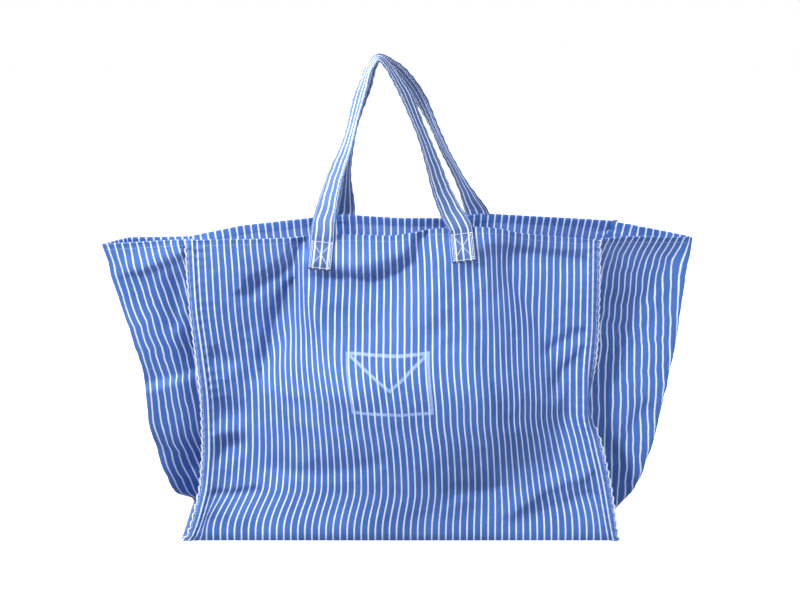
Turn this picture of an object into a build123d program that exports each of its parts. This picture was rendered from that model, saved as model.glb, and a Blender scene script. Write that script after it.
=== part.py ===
from build123d import *

import os
from math import cos, hypot, radians, sin

# Striped cotton shopper bag with two carrying straps.
#
# Millimetres. +X runs to the right along the front panel, seen from the front, +Y from the front panel to
# the back panel, +Z up. The origin is the middle of the base, on the floor.
#
# Every wall is one layer of cloth, lofted through horizontal sections. A section is a plan line,
# drawn anticlockwise seen from above so that the bag's inside lies on its left, and thickened
# towards the inside.

# ---- driving dimensions ----
cloth = 1.2                  # one layer of cloth, as modelled
base_length = 600.0          # width of the front panel at the base
base_depth = 280.0           # front to back at the base, and the gusset cloth's width
rim_height = 425.0
rim_length = 562.0           # front panel's width at the mouth
rim_shift = -10.0            # the front panel's middle at the mouth, from the middle of the base
waist_pull = 23.0            # how far each upright seam draws in at half height
mouth_front = 62.0           # front rim, in front of the middle
mouth_back = 66.0            # back rim, behind the middle
back_left_drop = 135.0       # how far the back left seam comes forward at the mouth
back_hollow = 0.7            # under 1 the back panel comes forward fastest near the base
back_left_hollow = 1.5       # over 1 its left seam comes forward fastest near the mouth
back_bend_x = -115.0         # the back panel is flat to the right of this line
back_left_out = 14.0         # how far the back left seam leans out at the mouth
back_right_out = 36.0        # and the back right one

mouth_reach = 422.5          # from the middle to each gusset's tip at the mouth
gusset_bow = 3.0             # how far each gusset stands out beyond its seam at the base
right_tip_share = 0.2        # where the right gusset's tip lies, from its front seam to its back one
left_tip_share = 0.02        # and the left one's
left_corner_share = 0.92     # the left gusset has a second fold, this share of the way back
left_corner_in = 28.0        # and this far in from its tip at the mouth
base_bow = 1.0               # how far the back left corner is in from a straight back edge
seam_gap = 0.6               # clear space between a gusset's edge and the panel it is sewn to

fin_width = 13.0             # seam allowance that stands out at an upright corner
fin_thickness = 2.4
base_fin_width = 10.0
base_fin_gap = 6.0           # from the base panel's edge to the fin, and from the fin's ends to the corners
fin_set = 1.0                # the corner fins start this far beyond the panel's edge
fin_row_inset = 3.0          # each row of topstitching, in from a fin's edges
hem_height = 10.0
hem_gap = 0.2
hem_trim = 5.0               # each stretch of hem stops this far short of its corner
thread_trim = 9.0            # and its stitching this far
thread_height = 0.5          # how far a sewing thread stands proud
thread_width = 0.8
thread_lift = 0.05           # rim stitching's clearance from the hem, so that they don't overlap

strap_width = 35.0
strap_thickness = 2.4
foot_height = 41.0           # sewn end of a strap, below the rim
foot_turn = 6.0              # degrees by which each foot leans towards the middle
strap_rise = 250.0           # from the rim to the top of the straps
strap_gap = 3.0              # the straps start this far above the rim, and the feet end as far below
strap_set = 0.2              # clear space between a strap and the panel
full_turn_at = 0.95          # a strap is edge-on from this share of its rise
foot_box_inset = 3.0         # the box of thread, in from the foot's edges
apex_y = 18.4                # each strap's middle at the top, either side of the bag's middle
strap_sections = 60

levels = [0, 60, 130, 215, 320, rim_height - hem_height, rim_height]

os.makedirs("parts", exist_ok=True)


def save(part, name):
    part.label = name
    export_step(part, f"parts/{name}.step")


# ---- plan lines, as a function of height ----
def seam_x(z, side):
    """Where the front panel's left (-1) or right (1) edge is at this height."""
    t = z / rim_height
    straight = base_length / 2 - (base_length - rim_length) / 2 * t
    return side * (straight - 4 * waist_pull * t * (1 - t)) + rim_shift * t


def front_y(z):
    return -base_depth / 2 + (base_depth / 2 - mouth_front) * z / rim_height


def back_y(z):
    return base_depth / 2 - (base_depth / 2 - mouth_back) * (z / rim_height) ** back_hollow


def back_left_y(z):
    return base_depth / 2 - base_bow - back_left_drop * (z / rim_height) ** back_left_hollow


def back_left_x(z):
    return seam_x(z, -1) - back_left_out * z / rim_height


def back_right_x(z):
    return seam_x(z, 1) + back_right_out * z / rim_height


def tip_x(z, side):
    """Where a gusset's tip is at this height: it stands out quickly at first, then slower."""
    t = z / rim_height
    flare = mouth_reach - side * seam_x(rim_height, side)
    return seam_x(z, side) + side * (gusset_bow + (flare - gusset_bow) * (1 - (1 - t) ** 2))


def front_line(z):
    return [(seam_x(z, -1), front_y(z)), (seam_x(z, 1), front_y(z))]


def back_line(z):
    return [
        (back_right_x(z), back_y(z)),
        (back_bend_x, back_y(z)),
        (back_left_x(z), back_left_y(z)),
    ]


def right_gusset_line(z):
    start = (seam_x(z, 1), front_y(z) + cloth + seam_gap)
    end = (back_right_x(z), back_y(z) - cloth - seam_gap)
    tip = (tip_x(z, 1), start[1] + right_tip_share * (end[1] - start[1]))
    return [start, tip, end]


def left_gusset_line(z):
    start = (back_left_x(z), back_left_y(z) - cloth - seam_gap)
    end = (seam_x(z, -1), front_y(z) + cloth + seam_gap)
    depth = start[1] - end[1]
    tip = (tip_x(z, -1), end[1] + left_tip_share * depth)
    corner = (tip[0] + left_corner_in * z / rim_height, end[1] + left_corner_share * depth)
    return [start, corner, tip, end]


# ---- walls from plan lines ----
def shifted(points, distance):
    """The plan line moved to its left by a distance, mitred at its corners."""
    ways = []
    for (x0, y0), (x1, y1) in zip(points, points[1:]):
        run = hypot(x1 - x0, y1 - y0)
        ways.append((-(y1 - y0) / run, (x1 - x0) / run))
    moved = []
    for (x, y), (ax, ay), (bx, by) in zip(points, [ways[0]] + ways, ways + [ways[-1]]):
        mitre = distance / (1 + ax * bx + ay * by)
        moved.append((x + (ax + bx) * mitre, y + (ay + by) * mitre))
    return moved


def trimmed(line, cut):
    """The same plan line with its two ends cut back."""

    def shorter(z):
        points = line(z)
        for end, beside in ((0, 1), (-1, -2)):
            (x0, y0), (x1, y1) = points[end], points[beside]
            part = cut / hypot(x1 - x0, y1 - y0)
            points[end] = (x0 + (x1 - x0) * part, y0 + (y1 - y0) * part)
        return points

    return shorter


def wall(line, near, far, heights):
    """A solid between two offsets of a plan line, lofted straight from height to height."""
    with BuildPart() as solid:
        for z in heights:
            with BuildSketch(Plane.XY.offset(z)):
                with BuildLine():
                    outline = shifted(line(z), near) + shifted(line(z), far)[::-1]
                    Polyline(*outline, close=True)
                make_face()
        loft(ruled=True)
    return solid.part


def post(corner, width, depth, heights):
    """An upright strip, width by depth, whose section starts at the corner's plan point."""
    with BuildPart() as solid:
        for z in heights:
            x, y = corner(z)
            with BuildSketch(Plane.XY.offset(z)):
                with Locations((x + width / 2, y + depth / 2)):
                    Rectangle(abs(width), abs(depth))
        loft(ruled=True)
    return solid.part


wall_lines = {
    "front": front_line,
    "right": right_gusset_line,
    "back": back_line,
    "left": left_gusset_line,
}
wall_names = {
    "front": "front_panel",
    "right": "right_gusset",
    "back": "back_panel",
    "left": "left_gusset",
}

for side, line in wall_lines.items():
    save(wall(line, 0, cloth, levels), wall_names[side])

# ---- folded hem inside the mouth, and the line of stitching that holds it ----
hem_face = 2 * cloth + hem_gap
stitch_base = rim_height - hem_height + 1
rim_threads = []
for side, line in wall_lines.items():
    folded = wall(trimmed(line, hem_trim), cloth + hem_gap, hem_face, levels[-2:])
    save(folded, f"{side}_rim_hem")
    stitch_heights = [stitch_base, stitch_base + thread_width]
    sewn = trimmed(line, thread_trim)
    near = hem_face + thread_lift
    rim_threads.append(wall(sewn, near, near + thread_height, stitch_heights))
save(Compound(children=rim_threads), "rim_stitching")

# ---- base ----
with BuildPart() as base_panel:
    with BuildSketch():
        Rectangle(base_length - 4 * cloth, base_depth - 4 * cloth)
    extrude(amount=cloth)
save(base_panel.part, "base_panel")

for side, way in (("left", -1), ("right", 1)):
    with BuildPart() as base_fin:
        with BuildSketch():
            with Locations((way * (base_length / 2 + base_fin_gap + base_fin_width / 2), 0)):
                Rectangle(base_fin_width, base_depth - 2 * base_fin_gap)
        extrude(amount=fin_thickness)
    save(base_fin.part, f"{side}_base_seam")


# ---- upright corner seams: allowance turned outwards, with two rows of topstitching ----
panel_edges = {
    "front_left": (lambda z: (seam_x(z, -1), front_y(z)), -1, -1),
    "front_right": (lambda z: (seam_x(z, 1), front_y(z)), 1, -1),
    "back_left": (lambda z: (back_left_x(z), back_left_y(z)), -1, 1),
    "back_right": (lambda z: (back_right_x(z), back_y(z)), 1, 1),
}

seam_threads = []
for name, (edge, way, face) in panel_edges.items():

    def fin_corner(z, edge=edge, way=way, face=face):
        x, y = edge(z)
        return x + way * fin_set, y - face * (fin_thickness - cloth)

    save(post(fin_corner, way * fin_width, face * fin_thickness, levels), f"{name}_seam")

    for row in (fin_row_inset, fin_width - fin_row_inset):

        def row_corner(z, corner=fin_corner, way=way, face=face, row=row):
            x, y = corner(z)
            return x + way * row, y + face * fin_thickness

        seam_threads.append(post(row_corner, way * thread_width, face * thread_height, levels))
save(Compound(children=seam_threads), "seam_stitching")


# ---- straps ----
# (x, height above the rim) of each strap's middle line, from the left foot to the right one
front_path = [
    (-109, strap_gap), (-103, 40), (-91, 83), (-74, 128), (-61, 177), (-50, 213), (-42, 235),
    (-30, 248), (-18, 238), (-8, 223), (4, 203), (17, 175), (29, 146), (40, 118), (50, 90),
    (61, 62), (72, 37), (86, strap_gap),
]
back_path = [
    (-84, strap_gap), (-80, 58), (-75, 105), (-68, 152), (-58, 198), (-46, 232), (-30, 248),
    (-11, 236), (10, 214), (26, 190), (40, 163), (53, 134), (65, 109), (77, 87), (90, 62),
    (103, 35), (115, strap_gap),
]
straps = {"front": (front_path, -mouth_front, -1), "back": (back_path, mouth_back, 1)}


def eased(t):
    return t * t * (3 - 2 * t)


def strap_solid(path, rim_y, face):
    """A flat strap that faces outwards at its feet and turns edge-on towards its top."""
    foot_y = rim_y + face * (strap_thickness / 2 + strap_set)
    lean = (face * apex_y - foot_y) / strap_rise
    start = Vector(sin(radians(foot_turn)), lean, cos(radians(foot_turn)))
    end = Vector(start.X, -start.Y, -start.Z)
    with BuildLine() as route:
        points = [(x, foot_y + lean * h, rim_height + h) for x, h in path]
        Spline(*points, tangents=(start, end))
    middle = route.line
    with BuildPart() as strap:
        for number in range(strap_sections + 1):
            at = number / strap_sections
            place = middle @ at
            along = middle % at
            turn = eased(min(1, (place.Z - rim_height) / (strap_rise * full_turn_at)))
            outwards = Vector(-along.Z, 0, along.X).normalized() * turn
            outwards += Vector(0, face, 0) * (1 - turn)
            across = along.cross(outwards).normalized()
            with BuildSketch(Plane(origin=place, x_dir=across, z_dir=along)):
                Rectangle(strap_width, strap_thickness)
        loft(ruled=True)
    return strap.part


for name, (path, rim_y, face) in straps.items():
    save(strap_solid(path, rim_y, face), f"{name}_handle")


# ---- strap feet: the sewn ends, each with a box and a cross of thread ----
def foot_plane(rim_y, face, x, z):
    """On a panel's outside, x to the right seen from the front, y up the panel."""
    up = Vector(0, -face * (base_depth / 2 - abs(rim_y)), rim_height).normalized()
    right = Vector(1, 0, 0)
    return Plane(origin=(x, rim_y, z), x_dir=right, z_dir=right.cross(up))


box_width = strap_width - 2 * foot_box_inset
box_height = foot_height - 2 * foot_box_inset

for name, (path, rim_y, face) in straps.items():
    threads = []
    for side, (x, _), lean in (("left", path[0], -foot_turn), ("right", path[-1], foot_turn)):
        plane = foot_plane(rim_y, face, x, rim_height)
        proud = strap_thickness * (1 if plane.z_dir.Y * face > 0 else -1)
        placing = Location((0, -foot_height / 2 - strap_gap, 0), (0, 0, lean))
        with BuildPart() as foot:
            with BuildSketch(plane):
                with Locations(placing):
                    Rectangle(strap_width, foot_height)
            extrude(amount=proud)
        save(foot.part, f"{name}_{side}_foot")

        with BuildPart() as thread:
            with BuildSketch(plane.offset(proud)):
                with Locations(placing):
                    Rectangle(box_width, box_height)
                    Rectangle(
                        box_width - 2 * thread_width,
                        box_height - 2 * thread_width,
                        mode=Mode.SUBTRACT,
                    )
                    slant = Vector(box_width, box_height).get_angle(Vector(1, 0))
                    diagonal = hypot(box_width, box_height) - 2 * thread_width
                    Rectangle(diagonal, thread_width, rotation=slant)
                    Rectangle(diagonal, thread_width, rotation=-slant)
            extrude(amount=thread_height * (1 if proud > 0 else -1))
        threads.append(thread.part)
    save(Compound(children=threads), f"{name}_feet_stitching")
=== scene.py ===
"""The looks of a striped cotton shopper bag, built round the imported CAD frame.

Metres, in the CAD's frame: +X to the right along the front panel, +Y from front to back, +Z up.
Each wall is a grid of points, one row for each height and one column for each place across the
cloth. Its UV map "Flat" holds the cloth's own coordinates in metres, so the woven stripes follow
every fold. Front panel, base and back panel are one strip of cloth.
"""

from math import cos, pi, radians, sin

import bpy
import numpy as np
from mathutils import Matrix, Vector, noise
from mathutils.bvhtree import BVHTree


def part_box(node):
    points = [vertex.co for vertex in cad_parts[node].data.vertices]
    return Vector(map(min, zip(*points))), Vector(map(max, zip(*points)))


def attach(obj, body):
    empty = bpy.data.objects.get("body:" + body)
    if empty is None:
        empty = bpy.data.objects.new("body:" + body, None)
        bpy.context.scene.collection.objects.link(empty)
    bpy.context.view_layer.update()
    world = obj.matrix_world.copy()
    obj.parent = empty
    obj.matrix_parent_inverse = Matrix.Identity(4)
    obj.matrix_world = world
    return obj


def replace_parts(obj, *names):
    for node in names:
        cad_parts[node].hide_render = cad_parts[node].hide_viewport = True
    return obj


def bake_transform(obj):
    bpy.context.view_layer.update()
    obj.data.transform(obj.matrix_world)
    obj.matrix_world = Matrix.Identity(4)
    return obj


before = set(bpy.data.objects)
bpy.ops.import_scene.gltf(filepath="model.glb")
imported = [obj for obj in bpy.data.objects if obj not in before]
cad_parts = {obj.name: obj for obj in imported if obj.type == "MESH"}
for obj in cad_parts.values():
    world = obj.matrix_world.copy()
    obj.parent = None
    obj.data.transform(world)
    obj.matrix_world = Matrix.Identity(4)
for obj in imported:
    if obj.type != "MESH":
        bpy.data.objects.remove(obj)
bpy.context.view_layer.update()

# ---- sizes, from the frame where it has them ----
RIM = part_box("front_panel")[1].z
BASE_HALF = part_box("front_panel")[1].x
DEPTH_HALF = -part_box("front_panel")[0].y
CLOTH = 0.0005               # thickness of one layer
STRIPE = 0.010               # distance from one woven stripe to the next
STRIPE_WIDTH = 0.0021
EDGE_SOFT = 0.0003           # half the soft edge of a stripe or a printed line
YARNS = 0.0009               # from one yarn of the weave to the next but one
PANEL_HEIGHT = 0.430         # cloth from the base to the rim
HEM = 0.010
RIM_ROW = 0.0075             # the rim's row of stitches, below the rim
FIN = 0.013                  # seam allowance outside an upright corner
FIN_THICK = 0.0020
BASE_FIN = 0.010
BASE_FIN_THICK = 0.0016
STRAP_WIDTH = 0.035
STRAP_THICK = 0.0022
FOOT_LENGTH = 0.041
STRAP_RISE = 0.250
APEX_Y = 0.0184
THREAD = 0.00045             # radius of a sewing thread
THREAD_OFF = 0.0001          # thread lies this far off the cloth
STITCH = 0.0030              # from one stitch to the next
LONG_STITCH = 0.0034         # the same on the rim and the straps
OVERLOCKS = 100              # overlock stitches on one corner fin
FLOOR_GAP = 0.0004
BASE_HOLD = 0.05             # folds fade out this near the base
SEAM_HOLD = 0.03             # and this near a seam


def add_object(name, data):
    """A new object, linked to the scene."""
    added = bpy.data.objects.new(name, data)
    bpy.context.collection.objects.link(added)
    return added


# ---- camera and light ----
def make_camera():
    data = bpy.data.cameras.new("camera")
    data.lens = 93
    data.sensor_width = 36
    camera = add_object("camera", data)
    target = Vector((0, 0, 0.321))
    elevation = radians(12)
    distance = 3.0
    camera.location = target + distance * Vector((0, -cos(elevation), sin(elevation)))
    camera.rotation_euler = (target - camera.location).to_track_quat("-Z", "Y").to_euler()
    bpy.context.scene.camera = camera


def area_light(name, place, target, size, power):
    data = bpy.data.lights.new(name, "AREA")
    data.size = size
    data.energy = power
    light = add_object(name, data)
    light.location = place
    light.visible_camera = False
    way = Vector(target) - Vector(place)
    light.rotation_euler = way.to_track_quat("-Z", "Y").to_euler()


def make_studio():
    area_light("key", (-2.3, -1.7, 2.2), (0, 0, 0.25), 0.7, 140)
    area_light("fill", (2.3, -2.1, 1.9), (0, 0, 0.3), 1.2, 38)
    area_light("top", (0.3, -0.6, 2.7), (0, 0.06, 0.3), 1.0, 18)
    area_light("behind", (-1.1, 1.6, 1.1), (-0.15, 0.03, 0.4), 1.0, 50)
    area_light("mouth", (-0.32, -0.09, 0.74), (-0.2, 0.03, 0.42), 0.14, 1.6)
    world = bpy.data.worlds.new("studio")
    world.use_nodes = True
    tree = world.node_tree
    lighting = tree.nodes["Background"]
    lighting.inputs["Color"].default_value = (0.97, 0.98, 1.0, 1)
    lighting.inputs["Strength"].default_value = 0.50
    backdrop = tree.nodes.new("ShaderNodeBackground")
    backdrop.inputs["Color"].default_value = (1.0, 1.0, 1.0, 1)
    seen = tree.nodes.new("ShaderNodeLightPath").outputs["Is Camera Ray"]
    chosen = tree.nodes.new("ShaderNodeMixShader")
    tree.links.new(seen, chosen.inputs["Fac"])
    tree.links.new(lighting.outputs[0], chosen.inputs[1])
    tree.links.new(backdrop.outputs[0], chosen.inputs[2])
    tree.links.new(chosen.outputs[0], tree.nodes["World Output"].inputs["Surface"])
    bpy.context.scene.world = world
    bpy.context.scene.view_settings.view_transform = "Standard"

    mesh = bpy.data.meshes.new("floor")
    reach = 6.0
    low = -FLOOR_GAP
    corners = [(-reach, -reach, low), (reach, -reach, low), (reach, reach, low), (-reach, reach, low)]
    mesh.from_pydata(corners, [], [(0, 1, 2, 3)])
    floor = add_object("floor", mesh)
    paper = bpy.data.materials.new("paper")
    paper.use_nodes = True
    shader = paper.node_tree.nodes["Principled BSDF"]
    shader.inputs["Base Color"].default_value = (0.80, 0.80, 0.80, 1)
    shader.inputs["Emission Color"].default_value = (1.0, 1.0, 1.0, 1)
    shader.inputs["Emission Strength"].default_value = 0.72
    shader.inputs["Roughness"].default_value = 0.9
    shader.inputs["Specular IOR Level"].default_value = 0.1
    floor.data.materials.append(paper)
    floor.visible_diffuse = False


# ---- node helpers ----
class Graph:
    """A material's nodes, made by short calls."""

    def __init__(self, name):
        self.material = bpy.data.materials.new(name)
        self.material.use_nodes = True
        self.tree = self.material.node_tree
        self.shader = self.tree.nodes["Principled BSDF"]

    def put(self, socket, value):
        if isinstance(value, bpy.types.NodeSocket):
            self.tree.links.new(value, socket)
        else:
            socket.default_value = value

    def math(self, operation, *values):
        node = self.tree.nodes.new("ShaderNodeMath")
        node.operation = operation
        for socket, value in zip(node.inputs, values):
            self.put(socket, value)
        return node.outputs[0]

    def ramp(self, value, low, high):
        """0 below low, 1 above high, smooth between."""
        node = self.tree.nodes.new("ShaderNodeMapRange")
        node.interpolation_type = "SMOOTHSTEP"
        self.put(node.inputs["Value"], value)
        self.put(node.inputs["From Min"], low)
        self.put(node.inputs["From Max"], high)
        return node.outputs["Result"]

    def mix(self, share, one, other):
        node = self.tree.nodes.new("ShaderNodeMix")
        node.data_type = "RGBA"
        self.put(node.inputs["Factor"], share)
        self.put(node.inputs["A"], one)
        self.put(node.inputs["B"], other)
        return node.outputs["Result"]

    def noise(self, vector, scale, detail=2.0):
        node = self.tree.nodes.new("ShaderNodeTexNoise")
        self.put(node.inputs["Vector"], vector)
        self.put(node.inputs["Scale"], scale)
        self.put(node.inputs["Detail"], detail)
        return node.outputs["Fac"]

    def scaled(self, vector, scale):
        node = self.tree.nodes.new("ShaderNodeVectorMath")
        node.operation = "MULTIPLY"
        self.put(node.inputs[0], vector)
        node.inputs[1].default_value = scale
        return node.outputs[0]

    def bump(self, height, strength, distance, normal=None):
        node = self.tree.nodes.new("ShaderNodeBump")
        self.put(node.inputs["Height"], height)
        self.put(node.inputs["Strength"], strength)
        self.put(node.inputs["Distance"], distance)
        if normal is not None:
            self.put(node.inputs["Normal"], normal)
        return node.outputs[0]

    def let_through(self, colour, share):
        """Lets a share of the light pass through the cloth."""
        passed = self.tree.nodes.new("ShaderNodeBsdfTranslucent")
        self.put(passed.inputs["Color"], colour)
        mixed = self.tree.nodes.new("ShaderNodeMixShader")
        mixed.inputs["Fac"].default_value = share
        self.tree.links.new(self.shader.outputs[0], mixed.inputs[1])
        self.tree.links.new(passed.outputs[0], mixed.inputs[2])
        self.tree.links.new(mixed.outputs[0], self.tree.nodes["Material Output"].inputs["Surface"])

    def flat_map(self):
        node = self.tree.nodes.new("ShaderNodeUVMap")
        node.uv_map = "Flat"
        return node.outputs[0]

    def split(self, vector):
        node = self.tree.nodes.new("ShaderNodeSeparateXYZ")
        self.put(node.inputs[0], vector)
        return node.outputs[0], node.outputs[1], node.outputs[2]


# ---- materials ----
BLUE = (0.074, 0.192, 0.570, 1)
DEEP_BLUE = (0.037, 0.116, 0.410, 1)
# the straps' blues, darker and greyer than the panels' blues: painted shade on the straps
STRAP_SHADED_BLUE = (0.096, 0.186, 0.450, 1)
STRAP_SHADED_DEEP = (0.046, 0.106, 0.310, 1)
SEEN_THROUGH = 0.30              # the share of the light that one layer of cotton lets through
FOLDED_THROUGH = 0.12            # and that a folded strap does
WHITE = (0.88, 0.93, 1.0, 1)
INK = (0.50, 0.66, 0.95, 1)
PRINT_CENTRE = (-0.004, 0.200)   # across the cloth, and down it from the rim
PRINT_HALF = (0.058, 0.039)
PRINT_LINE = 0.0021              # half the width of the printed line


def printed_sign(graph, across, down):
    """The outline of an envelope with its flap, as a mask from 0 to 1."""
    half_width, half_height = PRINT_HALF
    flap_depth = 1.15 * half_height
    x = graph.math("ABSOLUTE", graph.math("SUBTRACT", across, PRINT_CENTRE[0]))
    y = graph.math("SUBTRACT", PRINT_CENTRE[1], down)
    past_side = graph.math("SUBTRACT", x, half_width)
    past_top = graph.math("SUBTRACT", graph.math("ABSOLUTE", y), half_height)
    outside = graph.math("MAXIMUM", past_side, past_top)
    fold = graph.math("MULTIPLY_ADD", x, flap_depth / half_width, half_height - flap_depth)
    tilt = half_width / (half_width**2 + flap_depth**2) ** 0.5
    off_flap = graph.math("MULTIPLY", graph.math("SUBTRACT", y, fold), tilt)
    lines = []
    for away in (outside, off_flap):
        away = graph.math("ABSOLUTE", away)
        wide = graph.ramp(away, PRINT_LINE - EDGE_SOFT, PRINT_LINE + EDGE_SOFT)
        lines.append(graph.math("SUBTRACT", 1.0, wide))
    within = graph.math("SUBTRACT", 1.0, graph.ramp(outside, 0.0, 2 * EDGE_SOFT))
    return graph.math("MAXIMUM", lines[0], graph.math("MULTIPLY", lines[1], within))


def cotton(name, printed=False, folded=False):
    """Blue plain weave with white warp stripes that run along the cloth's length."""
    graph = Graph(name)
    flat = graph.flat_map()
    across, down, _ = graph.split(flat)

    slub = graph.noise(graph.scaled(flat, (2600, 320, 1)), 1.0, 1.0)
    drift = graph.math("MULTIPLY", graph.math("SUBTRACT", slub, 0.5), 0.0007)
    from_stripe = graph.math("PINGPONG", graph.math("ADD", across, drift), STRIPE / 2)
    off_stripe = graph.ramp(from_stripe, STRIPE_WIDTH / 2 - EDGE_SOFT, STRIPE_WIDTH / 2 + EDGE_SOFT)
    stripe = graph.math("SUBTRACT", 1.0, off_stripe)

    patches = graph.noise(flat, 14.0, 5.0)
    flecks = graph.noise(graph.scaled(flat, (500, 2300, 1)), 1.0, 2.0)
    tone = graph.math("ADD", graph.math("MULTIPLY", patches, 0.5), graph.math("MULTIPLY", flecks, 0.5))
    # a folded strap takes darker, greyer blues: painted shade on the straps, same cloth as the panels
    deep, light = (STRAP_SHADED_DEEP, STRAP_SHADED_BLUE) if folded else (DEEP_BLUE, BLUE)
    blue = graph.mix(graph.ramp(tone, 0.30, 0.72), deep, light)
    pale = graph.mix(graph.ramp(flecks, 0.25, 0.75), tuple(c * 0.86 for c in WHITE[:3]) + (1,), WHITE)
    colour = graph.mix(graph.math("MULTIPLY", stripe, 0.93), blue, pale)
    if printed:
        worn = graph.ramp(graph.noise(flat, 420.0, 2.0), 0.25, 0.62)
        strength = graph.math("MULTIPLY_ADD", worn, 0.34, 0.30)
        ink = graph.math("MULTIPLY", printed_sign(graph, across, down), strength)
        colour = graph.mix(ink, colour, INK)
    graph.put(graph.shader.inputs["Base Color"], colour)

    yarns = 2 * pi / YARNS
    warp = graph.math("SINE", graph.math("MULTIPLY", across, yarns))
    weft = graph.math("SINE", graph.math("MULTIPLY", down, yarns))
    weave = graph.math("MULTIPLY", warp, weft)
    crinkle = graph.noise(graph.scaled(flat, (1.0, 0.75, 1)), 130.0, 3.0)
    normal = graph.bump(crinkle, 0.45 if folded else 0.22, 0.0016)
    normal = graph.bump(weave, 0.25, 0.00012, normal)
    graph.put(graph.shader.inputs["Normal"], normal)
    graph.put(graph.shader.inputs["Roughness"], graph.math("MULTIPLY_ADD", flecks, 0.12, 0.72))
    graph.shader.inputs["Sheen Weight"].default_value = 0.05
    graph.shader.inputs["Sheen Roughness"].default_value = 0.5
    graph.shader.inputs["Specular IOR Level"].default_value = 0.25
    graph.let_through(graph.mix(0.5, colour, WHITE), FOLDED_THROUGH if folded else SEEN_THROUGH)
    return graph.material


def thread_material():
    """White twisted thread."""
    graph = Graph("white_thread")
    place = graph.tree.nodes.new("ShaderNodeTexCoord").outputs["Object"]
    twist = graph.tree.nodes.new("ShaderNodeTexWave")
    graph.put(twist.inputs["Vector"], place)
    twist.inputs["Scale"].default_value = 420.0
    twist.inputs["Distortion"].default_value = 2.5
    fluff = graph.noise(place, 900.0, 2.0)
    colour = graph.mix(fluff, (0.74, 0.80, 0.90, 1), (0.93, 0.95, 1.0, 1))
    graph.put(graph.shader.inputs["Base Color"], colour)
    graph.put(graph.shader.inputs["Normal"], graph.bump(twist.outputs["Fac"], 0.4, 0.0002))
    graph.put(graph.shader.inputs["Roughness"], graph.math("MULTIPLY_ADD", fluff, 0.2, 0.55))
    graph.shader.inputs["Sheen Weight"].default_value = 0.2
    return graph.material


# ---- numbers ----
def curve(knots, values, slopes, at):
    """A cubic curve through the values at the knots, with the slopes given there."""
    steps = np.diff(knots)
    n = np.clip(np.searchsorted(knots, at, side="right") - 1, 0, len(steps) - 1)
    t = (at - knots[n]) / steps[n]
    start = values[n] * (1 + 2 * t) * (1 - t) ** 2 + slopes[n] * steps[n] * t * (1 - t) ** 2
    end = values[n + 1] * t * t * (3 - 2 * t) + slopes[n + 1] * steps[n] * t * t * (t - 1)
    return start + end


def catmull(knots, values, at):
    """A smooth curve through the values, with the slopes of their neighbours."""
    return curve(knots, values, np.gradient(values, knots), at)


def through(knots, values, at):
    """A smooth curve through the values, without overshoot."""
    knots = np.asarray(knots, float)
    values = np.asarray(values, float)
    rises = np.diff(values) / np.diff(knots)
    slopes = np.zeros_like(values)
    product = rises[1:] * rises[:-1]
    total = rises[1:] + rises[:-1]
    same = product > 0
    slopes[1:-1][same] = 2 * product[same] / total[same]
    slopes[0], slopes[-1] = rises[0], rises[-1]
    return curve(knots, values, slopes, np.asarray(at, float))


def distances(points):
    """How far along a line each of its points lies."""
    lengths = np.linalg.norm(np.diff(points, axis=0), axis=1)
    return np.concatenate([[0], np.cumsum(lengths)])


def point_on(line, at, place):
    """The point of a line at one place, where at holds the places of its own points."""
    return np.array([np.interp(place, at, values) for values in line.T])


def eased(t):
    t = np.clip(t, 0, 1)
    return t * t * (3 - 2 * t)


def spaced(length, coarse, fine, edge):
    """Places from 0 to length, a fine step apart within edge of either end."""
    count_edge = int(round(edge / fine))
    count_middle = int(round((length - 2 * edge) / coarse))
    near = np.linspace(0, edge, count_edge + 1)
    middle = np.linspace(edge, length - edge, count_middle + 1)
    return np.concatenate([near, middle[1:-1], length - near[::-1]])


def on_axis(axis, values):
    """Points along one axis."""
    points = np.zeros((len(values), 3))
    points[:, axis] = values
    return points


def from_edge(places, width):
    """How far each place across a cloth of this width is from the nearer edge."""
    return np.minimum(places, 1 - places) * width


def roughness(points, scale, seed):
    """Smooth noise from about -1 to 1 at each point of a grid."""
    flat = points.reshape(-1, 3) * scale
    shift = Vector((seed * 7.31, seed * 3.77, seed * 5.13))
    values = [noise.noise(Vector(p) + shift) for p in flat]
    return np.array(values).reshape(points.shape[:-1])


# ---- seams: (height, x, y) of each line of sewing, from the base to the rim ----
SEAMS = {
    "front_left": (
        (0.000, -0.299, -0.138), (0.010, -0.292, -0.137), (0.040, -0.281, -0.130),
        (0.080, -0.272, -0.118), (0.130, -0.269, -0.106), (0.190, -0.271, -0.093),
        (0.255, -0.278, -0.083), (0.330, -0.287, -0.073), (0.420, -0.2915, -0.062),
    ),
    "front_right": (
        (0.000, 0.301, -0.138), (0.025, 0.296, -0.134), (0.092, 0.284, -0.119),
        (0.135, 0.274, -0.108), (0.178, 0.265, -0.097), (0.222, 0.265, -0.088),
        (0.300, 0.270, -0.076), (0.421, 0.271, -0.062),
    ),
    "back_left": (
        (0.000, -0.300, 0.138), (0.100, -0.282, 0.126), (0.200, -0.279, 0.090),
        (0.300, -0.284, 0.036), (0.350, -0.291, 0.010), (0.378, -0.298, 0.002), (0.412, -0.305, 0.012),
    ),
    "back_right": (
        (0.000, 0.300, 0.138), (0.100, 0.278, 0.121), (0.200, 0.280, 0.104),
        (0.300, 0.287, 0.086), (0.426, 0.309, 0.066),
    ),
}
SEAM_TOP = {name: points[-1][0] for name, points in SEAMS.items()}


def seam(name, share):
    """Points of a seam at shares of its height, 0 at the base and 1 at the rim."""
    heights, xs, ys = zip(*SEAMS[name])
    z = np.asarray(share) * heights[-1]
    return np.stack([through(heights, xs, z), through(heights, ys, z), z], axis=-1)


# rows of every wall, from the base to the rim
SHARES = spaced(1.0, 0.0085, 0.005, 0.05)


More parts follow.
